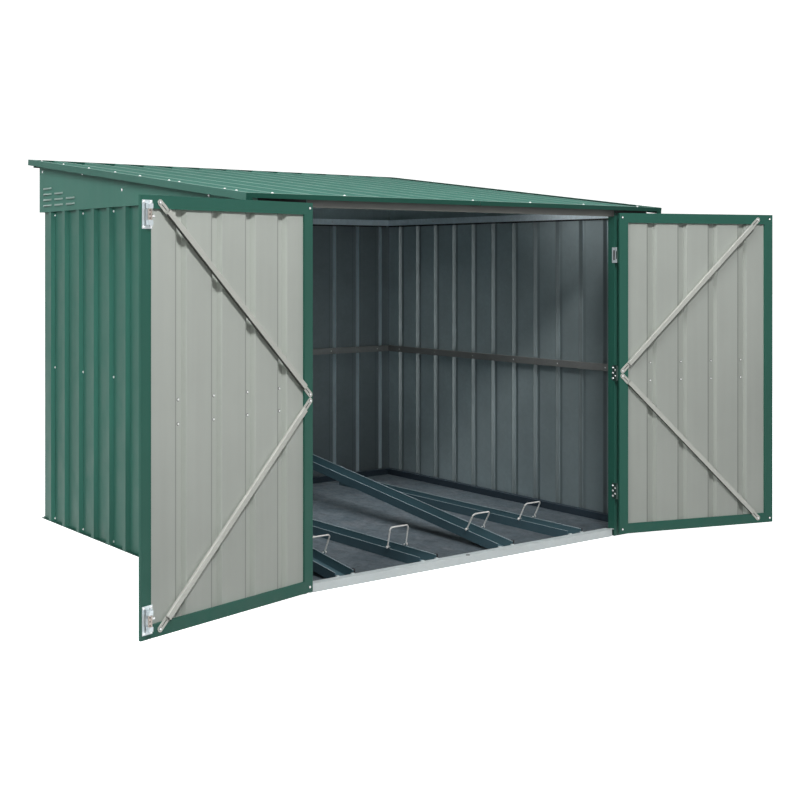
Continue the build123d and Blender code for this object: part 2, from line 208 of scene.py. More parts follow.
def shade(colour, factor):
    return tuple(c * factor for c in colour)


def paint(name, colour, ground_dust_and_shade=(0.13, 0.16, 0.14), rough=(0.34, 0.5), gloss=0.18, ribs=None):
    """Coated sheet: faint streaks, fine orange peel and a little dust with painted shade near the ground.
    """
    n = Nodes(name)
    broad = n.ramp(n.noise(2.2, 4, 0.55), 0.3, 0.7)
    tone = n.mix(broad, shade(colour, 0.94), shade(colour, 1.05))
    streak = n.ramp(n.noise(1.0, 3, 0.5, n.stretched((34, 34, 1.6))), 0.35, 0.75, 0.0, 0.16)
    tone = n.mix(streak, tone, shade(colour, 1.22))
    speck = n.ramp(n.noise(260, 2, 0.6), 0.60, 0.72, 0.0, 0.10)
    tone = n.mix(speck, tone, shade(colour, 0.78))
    # A little dust and painted shade near the ground
    low = n.ramp(n.axis("Z"), 0.09, 0.0, 0.0, 1.0)
    dust_and_ground_shade = n.product(low, n.ramp(n.noise(16, 5, 0.6), 0.35, 0.75, 0.0, 0.22))
    tone = n.mix(dust_and_ground_shade, tone, ground_dust_and_shade)
    if ribs:
        tone = n.paint_rib_shading(tone, colour, ribs)
    n.bump(n.noise(420, 2, 0.5), 0.05, 0.0006)
    n.shader.inputs["Specular IOR Level"].default_value = gloss
    return n.finish(tone, n.ramp(n.noise(7, 4, 0.6), 0.3, 0.7, *rough))


def metal(name, colour, rough, spangle=0.0, metallic=0.9, scale=70, dull=0.85, ribs=None, front=0.0):
    """Zinc coated steel with spangle or a fine mottle and dull patches; front paints shade on it towards
    the door.
    """
    n = Nodes(name)
    cells = n.add("ShaderNodeTexVoronoi")
    cells.inputs["Scale"].default_value = scale
    n.link(n.coords, cells.inputs["Vector"])
    grey = n.add("ShaderNodeRGBToBW")
    n.link(cells.outputs["Color"], grey.inputs[0])
    facet = n.ramp(grey.outputs[0], 0.2, 0.8)
    tone = n.mix(n.product(facet, spangle), colour, shade(colour, 1.35))
    patch = n.ramp(n.noise(5, 5, 0.6), 0.35, 0.72, 0.0, 0.7)
    tone = n.mix(patch, tone, shade(colour, dull))
    # Painted shade, darker towards the doorway
    if front:
        tone = n.mix(n.ramp(n.axis("Y"), 0.1, -0.75, 0.0, front), tone, shade(colour, 0.3))
    if ribs:
        tone = n.paint_rib_shading(tone, colour, ribs)
    n.bump(n.noise(350, 2, 0.5), 0.04, 0.0005)
    low, high = rough
    wear = n.ramp(n.noise(11, 4, 0.6), 0.3, 0.7, low, high)
    return n.finish(tone, n.product(wear, n.product(facet, 0.08 * spangle), "ADD"), metallic)


def floor_material():
    """Mottled grey coated board with scuffs, and mottled painted shade near the doorway."""
    n = Nodes("floor_board")
    broad = n.ramp(n.noise(5.5, 6, 0.62, n.stretched((0.8, 1.2, 1)), distortion=0.5), 0.34, 0.68)
    tone = n.mix(broad, (0.062, 0.096, 0.120), (0.122, 0.156, 0.180))
    warm = n.ramp(n.noise(9, 5, 0.6, n.stretched((1.2, 0.6, 1))), 0.5, 0.78, 0.0, 0.55)
    tone = n.mix(warm, tone, (0.21, 0.20, 0.215))
    grain = n.ramp(n.noise(34, 6, 0.7, n.stretched((1.0, 0.55, 1))), 0.40, 0.62, 0.0, 0.8)
    tone = n.mix(grain, tone, (0.040, 0.056, 0.070))
    fine = n.ramp(n.noise(80, 5, 0.8), 0.42, 0.66, 0.0, 0.6)
    tone = n.mix(fine, tone, (0.22, 0.245, 0.26))
    scuff = n.ramp(n.noise(1.0, 4, 0.6, n.stretched((14, 90, 1))), 0.6, 0.8, 0.0, 0.3)
    tone = n.mix(scuff, tone, (0.29, 0.31, 0.32))
    # Painted shade, mottled, darkest by the threshold
    front = n.ramp(n.axis("Y"), -0.88, -0.05, 1.0, 0.0)
    painted_front_shade = n.product(front, n.ramp(n.noise(7, 5, 0.6), 0.25, 0.7, 0.0, 0.65))
    tone = n.mix(painted_front_shade, tone, (0.030, 0.040, 0.047))
    n.bump(n.noise(120, 4, 0.6), 0.18, 0.001)
    return n.finish(tone, n.ramp(n.noise(6, 4, 0.6), 0.3, 0.7, 0.38, 0.62))


def header_material():
    """Dull warm grey steel with painted shade, darkest where it meets the roof."""
    n = Nodes("header_steel")
    # Painted shade, darkening towards the roof
    roof_shade = n.ramp(n.axis("Z"), WALL_TOP - 0.030, WALL_TOP - 0.004)
    tone = n.mix(roof_shade, (0.165, 0.172, 0.158), (0.028, 0.034, 0.031))
    mottle = n.ramp(n.noise(1.0, 4, 0.6, n.stretched((9, 9, 60))), 0.35, 0.7, 0.0, 0.35)
    tone = n.mix(mottle, tone, (0.10, 0.098, 0.09))
    n.bump(n.noise(350, 2, 0.5), 0.04, 0.0005)
    return n.finish(tone, n.ramp(n.noise(11, 4, 0.6), 0.3, 0.7, 0.45, 0.6), 0.2)


# Main colours, and the painted shade and highlight lines along the ribs: (offset from the rib, half
# width, factor, share)
GREEN = (0.038, 0.168, 0.127)
ROOF_GREEN = (0.064, 0.180, 0.144)
PALE = (0.60, 0.64, 0.588)
INNER = (0.36, 0.43, 0.445)
SIDE_RIBS, RIGHT_RIBS, BACK_RIBS = 0.075, 0.075 + RIGHT_WALL_SHIFT, 0.0
SIDE_RIB_SHADING = ((0.004, 0.009, 0.6, 0.8), (0.0175, 0.0045, 0.36, 0.9), (0.0250, 0.0025, 0.6, 0.5))
BACK_RIB_SHADING = ((-0.012, 0.005, 0.5, 0.6), (0.0175, 0.0048, 4.6, 1.0))
OUTER_RIB_SHADING = ((-0.0245, 0.0025, 0.7, 0.4),)
LEFT_DOOR_RIB_SHADING = ((0.0240, 0.0022, 0.45, 0.6), (0.0, 0.012, 1.04, 0.9), (-0.0175, 0.0050, 1.12, 1.0))
RIGHT_DOOR_RIB_SHADING = ((0.0240, 0.0022, 0.45, 0.8), (0.0, 0.012, 1.05, 0.9), (-0.0175, 0.0050, 0.98, 1.0))
ROOF_RIB_SHADING = ((0.0240, 0.0025, 0.6, 0.4), (-0.0240, 0.0025, 0.6, 0.4))


def along(axis, centre, shading_lines, turn=0.0, about=None):
    """Where a sheet's ribs are: the axis across them, one rib's place, the painted shade and highlight
    lines along them, and the turn of an open door.
    """
    return axis, centre, shading_lines, turn, about


def pale(name, ribs, tone=1.0):
    """The pale coat of a door's inside."""
    return paint(name, shade(PALE, tone), (0.46, 0.47, 0.43), (0.4, 0.55), ribs=ribs)


def inner(name, ribs=None, colour=INNER, front=0.0):
    """Bare zinc inside the walls and under the roof."""
    return metal(name, colour, (0.30, 0.42), spangle=0.2, metallic=0.45, ribs=ribs, front=front)


LEFT_DOOR = along(
    "X", DOOR_CENTRE + LEFT_DOOR_SHIFT + RIB_PITCH / 2, LEFT_DOOR_RIB_SHADING, LEFT_OPEN, tuple(PIN)
)
RIGHT_DOOR = along(
    "X", -DOOR_CENTRE - RIGHT_DOOR_SHIFT + RIB_PITCH / 2, RIGHT_DOOR_RIB_SHADING,
    -RIGHT_OPEN, (-PIN.x, PIN.y, 0)
)
MATT = {"rough": (0.42, 0.55), "gloss": 0.06}
MATERIALS = {
    "green": paint("green_paint", GREEN),
    "green_left": paint("green_left_wall", GREEN, ribs=along("Y", SIDE_RIBS, OUTER_RIB_SHADING)),
    "green_right": paint("green_right_wall", GREEN, ribs=along("Y", RIGHT_RIBS, OUTER_RIB_SHADING)),
    "green_back": paint("green_back_wall", GREEN, ribs=along("X", BACK_RIBS, OUTER_RIB_SHADING)),
    # Darker copies of the green: painted shade on the jambs and the door frames
    "jamb": paint("jamb_paint", (0.021, 0.108, 0.078), rough=(0.36, 0.5)),
    "frame": paint("door_frame_paint", (0.025, 0.126, 0.092), rough=(0.36, 0.5)),
    "roof": paint("roof_paint", ROOF_GREEN, ribs=along("X", BACK_RIBS, ROOF_RIB_SHADING), **MATT),
    "trim": paint("trim_paint", shade(ROOF_GREEN, 1.08), **MATT),
    # A lighter copy of the roof green: painted light on the gables
    "gable": paint("gable_paint", shade(ROOF_GREEN, 1.46), **MATT),
    # A darker copy of the trim green: painted shade on faces of the trims that look down, and on the
    # ground strips
    "trim_shade": paint("trim_painted_shade", (0.016, 0.088, 0.064), rough=(0.36, 0.5), gloss=0.1),
    # A lighter green: painted highlight on the louvre hoods
    "louvre": paint("louvre_highlight_paint", (0.30, 0.46, 0.41), rough=(0.25, 0.35), gloss=0.5),
    # The doors share one pale paint, dimmed by a different amount on each door as painted shade
    "pale_left": pale("pale_left_door", LEFT_DOOR, 0.94),
    "pale_right": pale("pale_right_door", RIGHT_DOOR, 0.83),
    "inner": inner("inner_zinc"),
    # The walls share one zinc in copies of different brightness, painted light and shade: darker on the
    # left and back, lighter on the right, with painted shade towards the door on the right
    "inner_left": inner("inner_left_zinc", along("Y", SIDE_RIBS, SIDE_RIB_SHADING), shade(INNER, 0.82)),
    "inner_right": inner("inner_right_zinc", along("Y", RIGHT_RIBS, SIDE_RIB_SHADING), (0.47, 0.57, 0.59), 0.5),
    "inner_back": inner("inner_back_zinc", along("X", BACK_RIBS, BACK_RIB_SHADING), (0.175, 0.205, 0.215)),
    "rail": metal(
        "channel_zinc", (0.74, 0.84, 0.89), (0.34, 0.46), spangle=0.4, metallic=0.4
    ),
    "midrail": metal("mid_rail_zinc", (0.25, 0.254, 0.247), (0.4, 0.55), spangle=0.2, metallic=0.35),
    "sill": metal(
        "sill_zinc", (0.63, 0.69, 0.695), (0.36, 0.48), spangle=0.12, metallic=0.15, dull=0.92
    ),
    "header": header_material(),
    "hardware": metal(
        "zinc_plated_steel", (0.90, 0.91, 0.91), (0.24, 0.34), metallic=0.45, scale=420, dull=0.92
    ),
    "plate": metal(
        "bolt_plate_zinc", (0.62, 0.69, 0.72), (0.3, 0.42), spangle=0.1, metallic=0.4, scale=420
    ),
    "strap": metal(
        "bolt_strap_steel", (0.36, 0.315, 0.28), (0.3, 0.45),
        spangle=0.5, metallic=0.6, scale=420, dull=0.6
    ),
    "hinge": metal(
        "hinge_steel", (0.035, 0.075, 0.063), (0.3, 0.45),
        spangle=0.5, metallic=0.3, scale=420, dull=0.6
    ),
    "brace_highlight": metal(
        "brace_painted_highlight", (0.62, 0.63, 0.59), (0.36, 0.5), metallic=0.15, scale=300, dull=0.9
    ),
    "brace_shade": metal(
        "brace_painted_shade", (0.035, 0.036, 0.034), (0.45, 0.6), metallic=0.1, scale=300, dull=0.8
    ),
    "brace": metal(
        "brace_steel", (0.52, 0.535, 0.49), (0.34, 0.48),
        spangle=0.15, metallic=0.15, scale=300, dull=0.88
    ),
    "tray": paint("tray_paint", (0.062, 0.116, 0.142), (0.09, 0.11, 0.12), (0.3, 0.48)),
    "tray_lit": paint("tray_painted_light", (0.086, 0.160, 0.188), (0.10, 0.13, 0.14), (0.3, 0.45)),
    "base": paint("base_rail_paint", (0.034, 0.050, 0.066), (0.04, 0.055, 0.07), (0.34, 0.5)),
    "hem_highlight": metal("tray_edge_highlight", (0.42, 0.52, 0.56), (0.3, 0.45), spangle=0.2, metallic=0.25, scale=200),
    "wire": metal("hoop_wire", (0.93, 0.91, 0.88), (0.25, 0.38), metallic=0.05, scale=260, dull=0.94),
    "floor": floor_material(),
    "dark": metal("black_bolt", (0.02, 0.02, 0.022), (0.4, 0.55), metallic=0.3, scale=300),
    # Black for painted shade and shadow: under the channels, round studs, in creases, holes and slots,
    # and in gaps
    "painted_shade": metal("painted_shade_black", (0.012, 0.013, 0.014), (0.7, 0.85), metallic=0.0, scale=300),
}


def dress(node, outer, inner=None, outward=None):
    """Gives a CAD node its finish, with the inner one where faces look away from outward."""
    mesh = nodes[node].data
    mesh.materials.clear()
    mesh.materials.append(MATERIALS[outer])
    if inner:
        mesh.materials.append(MATERIALS[inner])
    for polygon in mesh.polygons:
        polygon.material_index = 1 if inner and polygon.normal.dot(outward) < -0.05 else 0
    return mesh


def swing(side):
    """Matrix that takes a piece of the closed left door to the open door of a side."""
    if side < 0:
        turn, mirror = -LEFT_OPEN, Matrix.Identity(4)
    else:
        turn, mirror = -RIGHT_OPEN, Matrix.Scale(-1, 4, Vector((1, 0, 0)))
    return mirror @ Matrix.Translation(PIN) @ Matrix.Rotation(turn, 4, "Z") @ Matrix.Translation(-PIN)


LEFT, RIGHT, FRONT, BACK, UP = (
    Vector((-1, 0, 0)), Vector((1, 0, 0)), Vector((0, -1, 0)), Vector((0, 1, 0)), Vector((0, 0, 1))
)
for name, outer, inside, outward in (
    ("left_wall", "green_left", "inner_left", LEFT), ("right_wall", "green_right", "inner_right", RIGHT),
    ("back_wall", "green_back", "inner_back", BACK), ("gable_left", "gable", "inner", LEFT),
    ("gable_right", "gable", "inner", RIGHT), ("back_upper_panel", "trim", "inner", BACK),
    ("front_panel_left", "green", "inner", FRONT), ("front_panel_right", "green", "inner", FRONT),
):
    dress(name, outer, inside, outward)
for n in range(1, 4):
    dress(f"roof_sheet_{n}", "roof", "inner", UP)
# The trims' faces that look down take the darker green as painted shade
for name in ("roof_side_trims", "roof_front_trim", "roof_back_trim"):
    dress(name, "trim", "trim_shade", UP)
for name in ("door_jamb_left", "door_jamb_right"):
    dress(name, "jamb")
for name, finish in (
    ("base_rails", "base"), ("threshold", "sill"), ("front_header", "header"),
    ("wall_mid_rails", "midrail"),
):
    dress(name, finish)
# The channels' faces that look down take the black as painted shade
dress("wall_top_channels", "rail", "painted_shade", UP)
for name in ("upper_bolt_rod", "lower_bolt_rod"):
    dress(name, "hardware")
dress("floor_panel", "floor")
dress("bolt_cases", "plate")
dress("tray_stands", "tray")

# The upper leaves on the jambs take the bright plate finish where they face the doorway: a painted
# highlight
leaves = dress("jamb_hinge_leaves", "hinge")
leaves.materials.append(MATERIALS["plate"])
for polygon in leaves.polygons:
    if polygon.center.z > UPPER_HINGES_Z and abs(polygon.normal.x) > 0.9:
        polygon.material_index = 1

# The trays get a lighter copy of their paint on faces that look up or into their channels: painted light
for n, centre in enumerate(TRAY_CENTRES, 1):
    tray = dress(f"wheel_tray_{n}", "tray")
    tray.materials.append(MATERIALS["tray_lit"])
    for polygon in tray.polygons:
        inward = polygon.normal.x * (polygon.center.x - centre)
        polygon.material_index = 1 if inward < -0.02 or polygon.normal.z > 0.5 else 0
    dress(f"wheel_hoop_{n}", "wire")

# The doors are pale inside; their braces get painted highlight on their upper faces and painted shade on
# their undersides
for side, word in ((-1, "left"), (1, "right")):
    outside = (swing(side).to_3x3() @ FRONT).normalized()
    dress(f"{word}_door_panel", "green", f"pale_{word}", outside)
    dress(f"{word}_door_frame", "frame")
    dress(f"{word}_door_cover_rail", "green")
    dress(f"{word}_door_hinge_leaves", "hinge")
    braces = dress(f"{word}_door_braces", "brace", "brace_shade", UP)
    braces.materials.append(MATERIALS["brace_highlight"])
    for polygon in braces.polygons:
        if polygon.normal.z > 0.3:
            polygon.material_index = 2


# Small pieces, gathered into one mesh for each body and finish

class Batch:
    """Closed small meshes that share one object."""

    def __init__(self, name, body, finish, slot):
        self.name, self.body, self.finish, self.slot = name, body, finish, slot
        self.points, self.faces = [], []

    def add(self, points, faces, place):
        start = len(self.points)
        self.points += [place @ Vector(p) for p in points]
        flip = place.determinant() < 0
        self.faces += [[start + i for i in (reversed(f) if flip else f)] for f in faces]

    def build(self):
        mesh = bpy.data.meshes.new(self.name)
        mesh.from_pydata(self.points, [], self.faces)
        mesh.validate()
        mesh.materials.append(MATERIALS[self.finish])
        piece = bpy.data.objects.new(self.name, mesh)
        bpy.context.scene.collection.objects.link(piece)
        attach(piece, self.body)


def turned(profile, segments=12):
    """Points and faces of a shape turned about Z; the profile is (radius, height) from base to top."""
    points, faces = [], []
    for radius, height in profile:
        for k in range(segments):
            angle = 2 * math.pi * k / segments
            points.append((radius * math.cos(angle), radius * math.sin(angle), height))
    for ring in range(len(profile) - 1):
        for k in range(segments):
            a, b = ring * segments + k, ring * segments + (k + 1) % segments
            faces.append((a, b, b + segments, a + segments))
    faces.append(tuple(reversed(range(segments))))
    last = (len(profile) - 1) * segments
    faces.append(tuple(range(last, last + segments)))
    return points, faces


def facing(at, normal):
    """Matrix that puts a shape's base at a point and its Z along the normal."""
    spin = Matrix.Rotation(rng.uniform(0, math.tau), 4, "Z")
    tilt = Vector(normal).to_track_quat("Z", "Y").to_matrix().to_4x4()
    return Matrix.Translation(Vector(at)) @ tilt @ spin


def from_axes(x, y, z):
    """Matrix that turns a shape so that its X, Y and Z lie along three directions."""
    return Matrix((x, y, z)).transposed().to_4x4()


SCREW = turned(
    ((0.0056, -0.0004), (0.0056, 0.0006), (0.0036, 0.0009), (0.0035, 0.0022), (0.0026, 0.0031),
     (0.0012, 0.0034), (0.0009, 0.0026))
)
SMALL_SCREW = turned(
    ((0.0030, -0.0002), (0.0030, 0.0005), (0.0022, 0.0013), (0.0009, 0.0016), (0.0007, 0.0011)), 10
)
HEX_BOLT = turned(((0.0062, -0.0003), (0.0062, 0.0036), (0.0054, 0.0044)), 6)
WASHER = turned(((0.0054, -0.0002), (0.0054, 0.0003), (0.0048, 0.0006)), 14)
STUD = turned(((0.0043, 0.0001), (0.0042, 0.0012), (0.0034, 0.0023), (0.0018, 0.0030), (0.0004, 0.0032)))
CAP = turned(((0.0040, -0.0010), (0.0056, 0.0), (0.0056, 0.0024), (0.0040, 0.0042), (0.0016, 0.0048)), 14)
HOLE = turned(((0.0024, -0.0004), (0.0024, 0.0002), (0.0019, 0.0003)), 10)


def bar(across, long, high, edge):
    """A block with cut corners and a bevelled top; its base is centred at the origin."""
    points = []
    for height, inset in ((0, 0), (high - edge, 0), (high, edge)):
        a, b = across / 2 - inset, long / 2 - inset
        points += [(x, y, height) for x, y in (
            (a - edge, -b), (a, edge - b), (a, b - edge), (a - edge, b),
            (edge - a, b), (-a, b - edge), (-a, edge - b), (edge - a, -b),
        )]
    faces = [(r + k, r + (k + 1) % 8, r + 8 + (k + 1) % 8, r + 8 + k) for r in (0, 8) for k in range(8)]
    return points, faces + [tuple(range(7, -1, -1)), tuple(range(16, 24))]


def shell(inner_radius, outer_radius, start, end, length, steps=10):
    """Part of a tube along Z, from one angle to another; a full turn closes on itself."""
    closed = end - start >= 360
    count = steps if closed else steps + 1
    section = ((inner_radius, 0), (outer_radius, 0), (outer_radius, length), (inner_radius, length))
    points = []
    for k in range(count):
        angle = math.radians(start + (end - start) * k / steps)
        for radius, height in section:
            points.append((radius * math.cos(angle), radius * math.sin(angle), height))
    faces = []
    for k in range(steps):
        a, b = 4 * k, 4 * ((k + 1) % count)
        faces += [(a + i, b + i, b + (i + 1) % 4, a + (i + 1) % 4) for i in range(4)]
    if not closed:
        faces += [(0, 1, 2, 3), tuple(4 * steps + i for i in (3, 2, 1, 0))]
    return points, [tuple(reversed(f)) for f in faces]


shelter_screws = Batch("shelter_screws", "shelter", "hardware", "zinc_plated_steel")
left_screws = Batch("left_door_screws", "left_door", "hardware", "zinc_plated_steel")
right_screws = Batch("right_door_screws", "right_door", "hardware", "zinc_plated_steel")
door_screws = {-1: left_screws, 1: right_screws}
# Dark washers and marks on the doors: painted shade round the studs and in creases and holes
left_shade = Batch("left_door_shade_washers", "left_door", "painted_shade", "zinc_plated_steel")
right_shade = Batch("right_door_shade_washers", "right_door", "painted_shade", "zinc_plated_steel")
door_shade = {-1: left_shade, 1: right_shade}

# Wall screws, in rows at the channels, by every second rib
SIDE_SCREWS = [0.825 - RIB_FOOT - 2 * k * RIB_PITCH for k in range(6)]
BACK_SCREWS = [0.900 - RIB_FOOT - 2 * k * RIB_PITCH for k in range(7)]
GABLE_SCREWS = ((0.087, 1.444), (-0.62, 1.395), (0.47, 1.53), (0.90, 1.56))
PANEL_SCREWS = (0.06, 0.42, 0.88, 1.30)
for side in (-1, 1):
    for y in SIDE_SCREWS:
        for z in (TOP_ROW_Z, MID_ROW_Z, LOW_ROW_Z):
            shelter_screws.add(*SCREW, facing((side * HALF_WIDTH, y, z), (side, 0, 0)))
    for y, z in GABLE_SCREWS:
        shelter_screws.add(*SCREW, facing((side * GABLE_X, y, z), (side, 0, 0)))
    for z in PANEL_SCREWS:
        shelter_screws.add(*SCREW, facing((side * FRONT_PANEL_X, -HALF_DEPTH, z), (0, -1, 0)))
for x in BACK_SCREWS:
    for z in (TOP_ROW_Z, MID_ROW_Z, LOW_ROW_Z):
        shelter_screws.add(*SCREW, facing((x, HALF_DEPTH, z), (0, 1, 0)))
    shelter_screws.add(*SCREW, facing((x, BACK_UPPER_Y, 1.50), (0, 1, 0)))

# Screw ends on the inner faces of the channels
for side in (-1, 1):
    for y in SIDE_SCREWS:
        shelter_screws.add(*SMALL_SCREW, facing((side * RAIL_X, y, TOP_ROW_Z), (-side, 0, 0)))
        shelter_screws.add(*SMALL_SCREW, facing((side * MID_RAIL_X, y, MID_ROW_Z), (-side, 0, 0)))
for x in BACK_SCREWS:
    shelter_screws.add(*SMALL_SCREW, facing((x, RAIL_BACK_Y, TOP_ROW_Z), (0, -1, 0)))
    shelter_screws.add(*SMALL_SCREW, facing((x, MID_RAIL_BACK_Y, MID_ROW_Z), (0, -1, 0)))


def roof_place(x, y, up):
    """Point on the roof: y is the level distance, up is measured square to the sheets."""
    slope = (y - ROOF_START_Y + up * math.sin(ROOF_TILT)) / math.cos(ROOF_TILT)
    return (x, y, WALL_TOP + slope * math.sin(ROOF_TILT) + up * math.cos(ROOF_TILT))


ROOF_NORMAL = (0, -math.sin(ROOF_TILT), math.cos(ROOF_TILT))
ON_SHEET, ON_TRIM = 0.001, 0.015
roof_spots = [(x, y, ON_SHEET) for y in (-0.285, 0.63) for x in (-0.82, -0.225, 0.375, 0.975)]
roof_spots += [(x, 0.925, ON_SHEET) for x in (-0.825, -0.525, -0.225, 0.075, 0.375, 0.675, 0.975)]
roof_spots += [(x, -0.935, ON_TRIM) for x in (-0.925, -0.625, -0.025, 0.275, 0.575, 0.9)]
roof_spots += [(side * 1.022, y, ON_TRIM) for side in (-1, 1)
               for y in (-0.86, -0.78, -0.45, -0.37, -0.13, 0.09, 0.34, 0.60, 0.84)]
for x, y, up in roof_spots:
    shelter_screws.add(*SCREW, facing(roof_place(x, y, up), ROOF_NORMAL))

hinge_slot_shades = Batch("hinge_slot_shades", "shelter", "painted_shade", "zinc_plated_steel")

# Door screws: corners, brace ends, cover rail rows and hinge leaves
FRAME_SCREW_X, FRAME_SCREW_Z = 0.0145, 0.0185
BRACE_HINGE_X, BRACE_FREE_X = DOOR_HINGE_X + 0.014, DOOR_FREE_X - 0.076
BRACE_END_Z, BRACE_SPLIT = 0.022, 0.0105
COVER_ROWS = (DOOR_MIDDLE - 0.036, DOOR_MIDDLE + 0.040)
LEAF_STEP, LEAF_HALF = 0.022, 0.0065
UPRIGHT, ALONG_Y, INWARD = (0, 0, 1), (0, 1, 0), (0, 1, 0)
for side, batch in door_screws.items():
    to_open = swing(side)
    dark = door_shade[side]
    corners = [(x, z) for x in (DOOR_HINGE_X + FRAME_SCREW_X, DOOR_FREE_X - FRAME_SCREW_X)
               for z in (DOOR_BOTTOM + FRAME_SCREW_Z, DOOR_TOP - FRAME_SCREW_Z)]
    if side < 0:
        corners = corners[:2]
    ends = [(BRACE_HINGE_X, DOOR_MIDDLE + BRACE_SPLIT), (BRACE_HINGE_X, DOOR_MIDDLE - BRACE_SPLIT),
            (BRACE_FREE_X, DOOR_TOP - BRACE_END_Z), (BRACE_FREE_X, DOOR_BOTTOM + BRACE_END_Z)]
    # Each stud sits on a dark washer that paints the shade round its head
    for spots, y in ((corners, DOOR_INNER_Y), (ends, DOOR_INNER_Y + 0.002)):
        for x, z in spots:
            batch.add(*STUD, to_open @ facing((x, y, z), INWARD))
            dark.add(*WASHER, to_open @ facing((x, y, z), INWARD))

    # Dark bars paint the shade in the creases of the flattened brace ends, along each brace
    for start, stop in ((ends[0], ends[2]), (ends[1], ends[3]), (ends[2], ends[0]), (ends[3], ends[1])):
        run = (Vector((stop[0], 0, stop[1])) - Vector((start[0], 0, start[1]))).normalized()
        middle = Vector((start[0], DOOR_INNER_Y + 0.0018, start[1])) + 0.0215 * run
        turn = from_axes((-run.z, 0, run.x), run, INWARD)
        dark.add(*bar(0.0026, 0.025, 0.0006, 0.0002), to_open @ Matrix.Translation(middle) @ turn)
    # Cover rail studs in the grooves, each on a dark washer painted as its shade, with screws outside
    shift = LEFT_DOOR_SHIFT if side < 0 else RIGHT_DOOR_SHIFT
    groove_y = DOOR_OUTER_Y + 0.001 - RIB_DEPTH
    for k in range(4):
        x = DOOR_CENTRE + shift + (k - 1.5) * RIB_PITCH
        for z in COVER_ROWS:
            batch.add(*STUD, to_open @ facing((x, groove_y, z), INWARD))
            dark.add(*WASHER, to_open @ facing((x, groove_y, z), INWARD))
            batch.add(*SCREW, to_open @ facing((x, DOOR_OUTER_Y - 0.0175, z), (0, -1, 0)))

    # The lower leaves on the jambs have five studs, the upper ones a dark bar painted as the shade of a
    # slot
    to_doorway = (-side, 0, 0)
    for z in (DOOR_BOTTOM + HINGE_INSET, DOOR_MIDDLE, DOOR_TOP - HINGE_INSET):
        for dz in (-LEAF_STEP, 0, LEAF_STEP):
            outer = (DOOR_HINGE_X + 0.019, DOOR_OUTER_Y - 0.002, z + dz)
            batch.add(*SMALL_SCREW, to_open @ facing(outer, (0, -1, 0)))
            if z < UPPER_HINGES_Z:
                stud = (side * JAMB_LEAF_X, JAMB_LEAF_Y + LEAF_HALF, z + dz)
                shelter_screws.add(*STUD, facing(stud, to_doorway))
        if z < UPPER_HINGES_Z:
            for dz in (-0.012, 0.012):
                stud = (side * JAMB_LEAF_X, JAMB_LEAF_Y - LEAF_HALF, z + dz)
                shelter_screws.add(*STUD, facing(stud, to_doorway))
        else:
            at = Matrix.Translation((side * JAMB_LEAF_X, JAMB_LEAF_Y, z))
            turn = from_axes(ALONG_Y, UPRIGHT, to_doorway)
            hinge_slot_shades.add(*bar(0.0075, 0.042, 0.0008, 0.0003), at @ turn)

# Bolts: screws, and a barrel with three holes round each rod, open towards the knob
CASE_HEIGHT, CASE_INSET = 0.088, 0.015
BARREL_INNER, BARREL_OUTER, BARREL_LENGTH = 0.0047, 0.0070, 0.034
HOLE_TURN = math.radians(40)
barrels = Batch("bolt_barrels", "left_door", "strap", "zinc_plated_steel")
to_open = swing(-1)
for low in (DOOR_BOTTOM + CASE_INSET, DOOR_TOP - CASE_INSET - CASE_HEIGHT):
    for dx in (-0.014, 0.014):
        for dz in (0.006, 0.082):
            at = (BOLT_X + dx, DOOR_INNER_Y + 0.0015, low + dz)
            left_screws.add(*STUD, to_open @ facing(at, INWARD))
    barrels.add(*shell(BARREL_INNER, BARREL_OUTER, -55, 150, BARREL_LENGTH),
                to_open @ Matrix.Translation((BOLT_X, BOLT_Y, low + 0.027)))
    # Dark discs paint the shade in the barrel's holes
    for dz in (0.032, 0.044, 0.056):
        out = Vector((math.sin(HOLE_TURN), math.cos(HOLE_TURN), 0))
        at = Vector((BOLT_X, BOLT_Y, low + dz)) + BARREL_OUTER * out
        left_shade.add(*HOLE, to_open @ facing(at, out))
    # Dark bars on the plate paint the shade along both sides of the barrel
    for dx in (-0.0092, 0.0092):
        at = Matrix.Translation((BOLT_X + dx, DOOR_INNER_Y + 0.0014, low + CASE_HEIGHT / 2))
        turn = from_axes((-1, 0, 0), UPRIGHT, INWARD)
        left_shade.add(*bar(0.0020, 0.070, 0.0007, 0.0002), to_open @ at @ turn)

# Louvres near the back of each gable, in the lighter green of their painted highlight
LOUVRE_LENGTH, LOUVRE_HEIGHT, LOUVRE_DEPTH = 0.092, 0.008, 0.007


def louvre():
    """A pressed hood: it swells from the sheet towards an open lower lip."""
    across, down = 14, 6
    points, faces = [], []
    for i in range(across + 1):
        u = 2 * i / across - 1
        swell = max(0.0, 1 - abs(u) ** 5)
        for j in range(down + 1):
            v = j / down
            out = LOUVRE_DEPTH * swell * math.sin(v * math.pi / 2)
            points.append((u * LOUVRE_LENGTH / 2, LOUVRE_HEIGHT * (0.5 - v), out + 0.0002))
        points.append((u * LOUVRE_LENGTH / 2, -LOUVRE_HEIGHT / 2, -0.0002))
        points.append((u * LOUVRE_LENGTH / 2, LOUVRE_HEIGHT / 2, -0.0002))
    ring = down + 3
    for i in range(across):
        for j in range(ring):
            a, b = i * ring + j, i * ring + (j + 1) % ring
            faces.append((a, b, b + ring, a + ring))
    faces.append(tuple(reversed(range(ring))))
    faces.append(tuple(range(across * ring, (across + 1) * ring)))
    return points, faces


